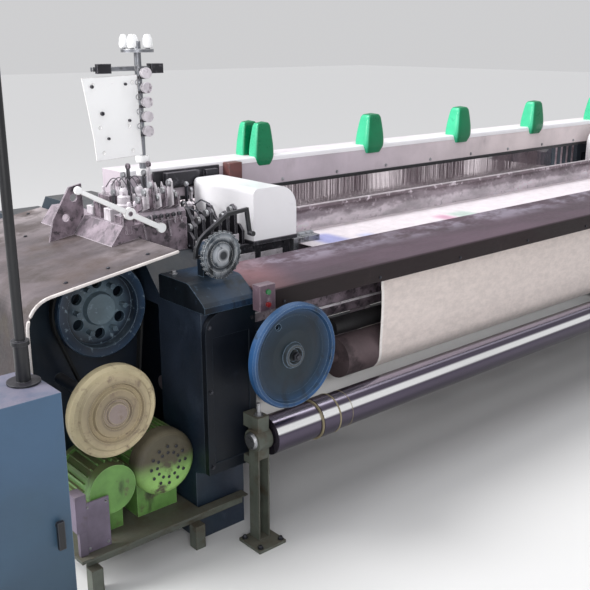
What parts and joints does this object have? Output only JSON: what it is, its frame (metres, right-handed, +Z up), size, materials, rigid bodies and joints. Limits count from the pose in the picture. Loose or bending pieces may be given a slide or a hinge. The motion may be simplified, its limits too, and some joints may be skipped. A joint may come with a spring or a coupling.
{
  "type": "power loom",
  "caption": "Wide power loom with a drive end under a hood, weft stand, take-up handwheel, breast plate, harness under a top beam, cloth tube, warp beam and control cabinet.",
  "frame": {"origin": "on the floor, under the middle of the whole loom's bounding box", "axes": "+X along the loom, to the right as the weaver sees it; the weaver stands at -Y; +Z up"},
  "size_m": [5.55, 2.1398, 1.95],
  "materials": {
    "navy_paint": "old semi-gloss machine paint",
    "cover_navy": "worn semi-gloss paint",
    "cap_blue": "worn glossy paint with oily dust",
    "leg_green": "dusty matt paint",
    "plate_brown": "dusty satin paint",
    "bar_steel": "polished by running yarn and cloth",
    "beam_mauve": "dusty satin paint",
    "guide_green": "glossy",
    "comb_grey": "satin",
    "hood_grey": "thick lint dust with brown stains",
    "motor_green": "glossy paint under dust",
    "motor_dust": "oily dust",
    "guard_beige": "dusty satin paint",
    "box_lilac": "satin",
    "stand_grey": "dusty satin paint",
    "stand_metal": "satin",
    "panel_white": "satin",
    "unit_dark": "oily cast metal",
    "cover_white": "satin moulded shell",
    "cabinet_blue": "satin powder coat",
    "black_metal": "semi-gloss",
    "gear_grey": "satin",
    "box_mauve": "satin",
    "sley_iron": "oily cast metal",
    "reed_steel": "fine steel wires between rails",
    "heald_alu": "satin",
    "cloth_fabric": "plain undyed cloth",
    "warp_yarn": "undyed yarns",
    "takeup_cover": "rough covering",
    "tube_metal": "bright rolled metal",
    "wheel_blue": "worn glossy paint",
    "fly_navy": "worn paint with bare machined faces",
    "pulley_steel": "satin",
    "belt_black": "matt",
    "disc_metal": "greasy machined metal",
    "start_green": "glossy",
    "stop_red": "glossy"
  },
  "bodies": {
    "frame": {"side_frame_left": "navy_paint", "side_frame_right": "navy_paint", "cross_ties": "navy_paint", "drive_box": "navy_paint", "right_box": "navy_paint", "column_covers": "cover_navy", "column_caps": "cap_blue", "worm_box": "cap_blue", "legs": "leg_green", "motor_base": "leg_green", "breast_plate": "plate_brown", "plate_brackets": "plate_brown", "cloth_bars": "bar_steel", "top_beam": "beam_mauve", "frame_guides": "guide_green", "harness_combs": "comb_grey", "hood_left": "hood_grey", "hood_right": "hood_grey", "main_motor": "motor_green", "second_motor": "motor_green", "motor_fan_cover": "motor_dust", "round_guard": "guard_beige", "terminal_box": "box_lilac", "stand_base": "stand_grey", "stand_post": "stand_metal", "tensioners": "stand_metal", "temples": "stand_metal", "stand_panel": "panel_white", "stand_bracket": "panel_white", "picking_unit": "unit_dark", "unit_cover": "cover_white", "receiving_unit": "cover_white", "cabinet": "cabinet_blue", "pole": "black_metal", "cabinet_gear": "gear_grey", "button_box": "box_mauve", "cloth": "cloth_fabric", "warp_sheet": "warp_yarn", "drive_belt": "belt_black"},
    "sley": {"sley": "sley_iron", "reed": "reed_steel"},
    "heald_1": {"heald_frame_1": "heald_alu"},
    "heald_2": {"heald_frame_2": "heald_alu"},
    "heald_3": {"heald_frame_3": "heald_alu"},
    "heald_4": {"heald_frame_4": "heald_alu"},
    "takeup": {"takeup_roller": "takeup_cover"},
    "press": {"press_roller": "takeup_cover"},
    "tube": {"cloth_tube": "tube_metal"},
    "wheel": {"handwheel": "wheel_blue"},
    "whip": {"whip_roller": "bar_steel"},
    "beam": {"warp_beam": "warp_yarn"},
    "fly": {"flywheel": "fly_navy"},
    "pulley": {"motor_pulley": "pulley_steel"},
    "disc": {"index_disc": "disc_metal"},
    "lever": {"hand_lever": "black_metal"},
    "weft": {"weft_lever": "panel_white"},
    "door": {"cabinet_door": "cabinet_blue"},
    "handle": {"door_handle": "black_metal"},
    "start": {"start_button": "start_green"},
    "stop": {"stop_button": "stop_red"}
  },
  "joints": [
    {"name": "sley_swing", "type": "hinge", "parent": "frame", "child": "sley", "pos_m": [0, -0.26, 0.42], "axis": [1, 0, 0], "range_deg": [-10, 3]},
    {"name": "heald_1_lift", "type": "slide", "parent": "frame", "child": "heald_1", "axis": [0, 0, 1], "range_m": [-0.04, 0.04]},
    {"name": "heald_2_lift", "type": "slide", "parent": "frame", "child": "heald_2", "axis": [0, 0, 1], "range_m": [-0.04, 0.04]},
    {"name": "heald_3_lift", "type": "slide", "parent": "frame", "child": "heald_3", "axis": [0, 0, 1], "range_m": [-0.04, 0.04]},
    {"name": "heald_4_lift", "type": "slide", "parent": "frame", "child": "heald_4", "axis": [0, 0, 1], "range_m": [-0.04, 0.04]},
    {"name": "takeup_turn", "type": "hinge", "parent": "frame", "child": "takeup", "pos_m": [0, -0.7, 0.52], "axis": [1, 0, 0], "continuous": true},
    {"name": "press_turn", "type": "hinge", "parent": "frame", "child": "press", "pos_m": [0, -0.64886, 0.62966], "axis": [1, 0, 0], "continuous": true},
    {"name": "tube_turn", "type": "hinge", "parent": "frame", "child": "tube", "pos_m": [0, -0.88, 0.4], "axis": [1, 0, 0], "continuous": true},
    {"name": "wheel_turn", "type": "hinge", "parent": "frame", "child": "wheel", "pos_m": [-1.427, -0.95, 0.708], "axis": [0, 1, 0], "continuous": true},
    {"name": "whip_turn", "type": "hinge", "parent": "frame", "child": "whip", "pos_m": [0, 0.8, 0.8896], "axis": [1, 0, 0], "continuous": true},
    {"name": "beam_turn", "type": "hinge", "parent": "frame", "child": "beam", "pos_m": [0, 0.7, 0.43], "axis": [1, 0, 0], "continuous": true},
    {"name": "fly_turn", "type": "hinge", "parent": "frame", "child": "fly", "pos_m": [-1.887, -0.45, 0.853], "axis": [0, 1, 0], "continuous": true},
    {"name": "pulley_turn", "type": "hinge", "parent": "frame", "child": "pulley", "pos_m": [-1.821, -0.45, 0.35], "axis": [0, 1, 0], "continuous": true},
    {"name": "disc_turn", "type": "hinge", "parent": "frame", "child": "disc", "pos_m": [-1.587, -0.765, 1.053], "axis": [0, 1, 0], "continuous": true},
    {"name": "lever_swing", "type": "hinge", "parent": "frame", "child": "lever", "pos_m": [-1.587, -0.738, 1.053], "axis": [0, 1, 0], "range_deg": [-15, 25]},
    {"name": "weft_lever_swing", "type": "hinge", "parent": "frame", "child": "weft", "pos_m": [-1.74, -0.446, 1.165], "axis": [0, 1, 0], "range_deg": [-12, 12]},
    {"name": "door_swing", "type": "hinge", "parent": "frame", "child": "door", "pos_m": [-2.771, -1.054, 0.455], "axis": [0, 0, -1], "range_deg": [0, 110]},
    {"name": "handle_turn", "type": "hinge", "parent": "door", "child": "handle", "pos_m": [-2.365, -1.04, 0.47], "axis": [0, 1, 0], "range_deg": [0, 90]},
    {"name": "start_press", "type": "slide", "parent": "frame", "child": "start", "axis": [0, 1, 0], "range_m": [0, 0.004], "stiffness_N_per_m": 300},
    {"name": "stop_press", "type": "slide", "parent": "frame", "child": "stop", "axis": [0, 1, 0], "range_m": [0, 0.004], "stiffness_N_per_m": 300}
  ],
  "couplings": [
    {"joint": "heald_2_lift", "follows": "heald_1_lift", "ratio": -1},
    {"joint": "heald_3_lift", "follows": "heald_1_lift", "ratio": 1},
    {"joint": "heald_4_lift", "follows": "heald_1_lift", "ratio": -1},
    {"joint": "press_turn", "follows": "takeup_turn", "ratio": -2.3056},
    {"joint": "tube_turn", "follows": "takeup_turn", "ratio": 1.1857},
    {"joint": "wheel_turn", "follows": "takeup_turn", "ratio": 20},
    {"joint": "whip_turn", "follows": "beam_turn", "ratio": 4.6667},
    {"joint": "pulley_turn", "follows": "fly_turn", "ratio": 3.36}
  ]
}
